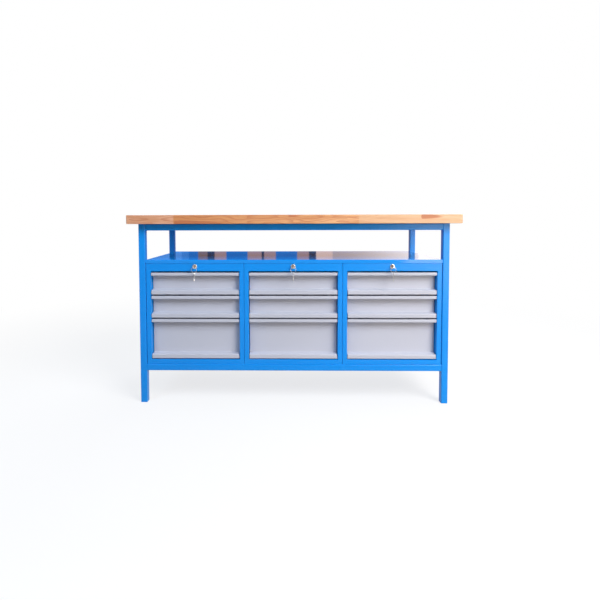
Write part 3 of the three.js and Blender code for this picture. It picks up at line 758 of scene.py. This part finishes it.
def floorFinish():
    finish = Finish("paleFloor", Roughness=stage["rough"])
    path = finish.node("ShaderNodeLightPath", {}, {})
    x, y, z = finish.axes()
    # gloss sees the floor dimmer in front of the bench, like the room on that side
    ahead = (0 - y).ease(*stage["ahead"])
    gloss = path.out("Is Glossy Ray") * (1 - ahead * stage["dim"])
    seen = path.out("Is Camera Ray").calc("MAXIMUM", gloss)
    seen = seen.calc("MAXIMUM", path.out("Is Transmission Ray"))
    patch = finish.noise(finish.place, stage["patch"]) * stage["patchShare"]
    level = seen * (stage["seen"] - stage["bounce"]) + stage["bounce"] + patch
    finish.feed("Base Color", finish.node("ShaderNodeCombineXYZ", {}, {0: level, 1: level, 2: level}))
    away = (x * x + y * y).calc("SQRT").ease(*stage["shadeEdge"])
    glow = finish.node("ShaderNodeEmission", {}, {"Strength": 1.0})
    white = seen * (1 - (1 - away) * stage["shade"])
    shader = Value(finish, finish.shader.outputs[0])
    both = finish.node("ShaderNodeMixShader", {}, {0: white, 1: shader, 2: glow})
    finish.plug(finish.tree.nodes["Material Output"].inputs["Surface"], both)
    return finish.material


# a flat grid of square tiles
count = stage["tiles"] + 1
span = np.linspace(-stage["half"], stage["half"], count)
acrossFloor, alongFloor = np.meshgrid(span, span)
floorGrid = np.stack((acrossFloor, alongFloor, np.zeros_like(acrossFloor)), -1)
index = np.arange(count * count).reshape(count, count)
tiles = np.stack((index[:-1, :-1], index[:-1, 1:], index[1:, 1:], index[1:, :-1]), -1).reshape(-1, 4)
floorMesh = bpy.data.meshes.new("floor")
floorMesh.from_pydata(floorGrid.reshape(-1, 3).tolist(), [], tiles.tolist())
floorMesh.materials.append(floorFinish())
floor = bpy.data.objects.new("floor", floorMesh)
scene.collection.objects.link(floor)

# World: white to the camera; gloss sees it white behind the bench and dimmer on the camera's side
world = scene.world or bpy.data.worlds.new("room")
scene.world = world
world.use_nodes = True
room = {"facing": 0.12, "facingEdge": (-0.4, 0.2), "ambient": 0.25, "tint": (0.88, 0.95, 1.12, 1.0)}


class Room(Finish):
    def __init__(self):
        self.tree = world.node_tree
        self.tree.nodes.clear()


surround = Room()
path = surround.node("ShaderNodeLightPath", {}, {})
toward = surround.node("ShaderNodeTexCoord", {}, {}).out("Generated")
depth = surround.node("ShaderNodeSeparateXYZ", {}, {0: toward}).out("Y").ease(*room["facingEdge"])
gloss = path.out("Is Glossy Ray").calc("MAXIMUM", path.out("Is Transmission Ray"))
glossLevel = depth * (1 - room["facing"]) + room["facing"]
seen = path.out("Is Camera Ray")
other = 1 - seen.calc("MAXIMUM", gloss)
level = seen + (1 - seen) * gloss * glossLevel + other * room["ambient"]
tint = surround.mix(other, (1, 1, 1, 1), room["tint"])
light = surround.node("ShaderNodeBackground", {}, {"Color": tint, "Strength": level})
surround.node("ShaderNodeOutputWorld", {}, {"Surface": light}, None)

# Lamps: a large soft key from the upper right, a warm card low on the right, a weak cool fill, one behind
lamps = {
    "key": {
        "at": (2.2, -2.5, 3.15), "aim": (0.2, 0, 0.5), "size": 2.2, "power": 174, "tint": (1.0, 0.985, 0.96),
    },
    "card": {
        "at": (1.9, -2.5, 0.9), "aim": (0.4, 0, 0.5), "size": 1.5, "power": 29, "tint": (1.0, 0.84, 0.68),
    },
    "fill": {
        "at": (-2.1, -2.5, 3.0), "aim": (0, 0, 0.5), "size": 1.8, "power": 52, "tint": (0.54, 0.76, 1.0),
    },
    "back": {
        "at": (0.6, 2.8, 2.6), "aim": (0, 0, 0.5), "size": 2.2, "power": 70, "tint": (1.0, 1.0, 1.0),
    },
}
for name, lamp in lamps.items():
    data = bpy.data.lights.new(name, "AREA")
    data.shape = "SQUARE"
    data.size = lamp["size"]
    data.energy = lamp["power"]
    data.color = lamp["tint"]
    made = bpy.data.objects.new(name, data)
    made.location = lamp["at"]
    aim = np.array(lamp["aim"]) - np.array(lamp["at"])
    forward = unit(aim)
    right = unit(np.cross(forward, (0, 0, 1)))
    up = np.cross(right, forward)
    made.rotation_euler = Matrix(np.stack((right, up, -forward), -1).tolist()).to_euler()
    made.visible_camera = False
    scene.collection.objects.link(made)

# Glowing cards behind the bench that are no lamps, seen only in gloss: a painted reflection of a room, so
# that the shelf shows its own blue between pale bands
reflectionCards = {
    "at": 1.10, "half": 2.4, "low": 0.55, "high": 1.30, "whiteEdge": (0.56, 0.78),
    "tones": {
        "sky": (0.12, 0.36, 0.95, 1.0), "azure": (0.07, 0.26, 0.78, 1.0), "blue": (0.03, 0.17, 0.62, 1.0),
        "post": (0.05, 0.03, 0.03, 1.0), "warm": (0.27, 0.16, 0.12, 1.0), "tan": (0.46, 0.28, 0.25, 1.0),
        "cream": (0.92, 0.64, 0.53, 1.0), "pale": (0.58, 0.45, 0.42, 1.0), "white": (1.6, 1.42, 1.34, 1.0),
        "glare": (2.1, 2.1, 2.1, 1.0),
    },
    # where each band of the painted reflection starts, as a share of the cards' width
    "bands": (
        (0.0, "white"), (0.25, "sky"), (0.319, "azure"), (0.331, "blue"), (0.347, "warm"), (0.363, "post"),
        (0.373, "tan"), (0.394, "blue"), (0.429, "tan"), (0.4505, "post"), (0.457, "tan"), (0.474, "blue"),
        (0.509, "tan"), (0.529, "post"), (0.542, "cream"), (0.570, "pale"), (0.709, "glare"),
    ),
}


def reflectionCardFinish():
    finish = Finish("reflectionCards")
    x, y, z = finish.axes()
    share = x / (2 * reflectionCards["half"]) + 0.5
    stops = [(at, reflectionCards["tones"][tone]) for at, tone in reflectionCards["bands"]]
    banded = finish.ramp(share, stops, "CONSTANT")
    tone = finish.mix(share.ease(*reflectionCards["whiteEdge"]), banded, reflectionCards["tones"]["white"])
    # the cards glow with their painted reflection bands and glare, though they are no lamps
    glow = finish.node("ShaderNodeEmission", {}, {"Color": tone})
    finish.plug(finish.tree.nodes["Material Output"].inputs["Surface"], glow)
    return finish.material


reflectionCardMesh = bpy.data.meshes.new("reflectionCards")
corners = [(-reflectionCards["half"], reflectionCards["low"]), (reflectionCards["half"], reflectionCards["low"]),
           (reflectionCards["half"], reflectionCards["high"]), (-reflectionCards["half"], reflectionCards["high"])]
reflectionCardMesh.from_pydata([(x, reflectionCards["at"], z) for x, z in corners], [], [(0, 1, 2, 3)])
reflectionCardMesh.materials.append(reflectionCardFinish())
reflectionCard = bpy.data.objects.new("reflectionCards", reflectionCardMesh)
scene.collection.objects.link(reflectionCard)
reflectionCard.visible_camera = False
reflectionCard.visible_diffuse = False
reflectionCard.visible_shadow = False

# Camera: place, turn and focal length worked out from the bench's edges in the photograph, in metres,
# degrees and pixels of an image 600 wide
view = {"at": (-0.0342, -2.1037, 0.8430), "yaw": 0.917, "pitch": -2.362, "roll": -0.154,
        "focal": 404.7, "centre": (279.2, 237.5), "image": 600, "sensor": 36}
data = bpy.data.cameras.new("camera")
data.sensor_fit = "HORIZONTAL"
data.sensor_width = view["sensor"]
data.lens = view["focal"] / view["image"] * data.sensor_width
data.shift_x = 0.5 - view["centre"][0] / view["image"]
data.shift_y = view["centre"][1] / view["image"] - 0.5
camera = bpy.data.objects.new("camera", data)
turn = (Matrix.Rotation(math.radians(view["yaw"]), 4, "Z")
        @ Matrix.Rotation(math.radians(90 + view["pitch"]), 4, "X")
        @ Matrix.Rotation(math.radians(view["roll"]), 4, "Z"))
camera.matrix_world = Matrix.Translation(view["at"]) @ turn
scene.collection.objects.link(camera)
scene.camera = camera
print("stage, lamps and camera made")
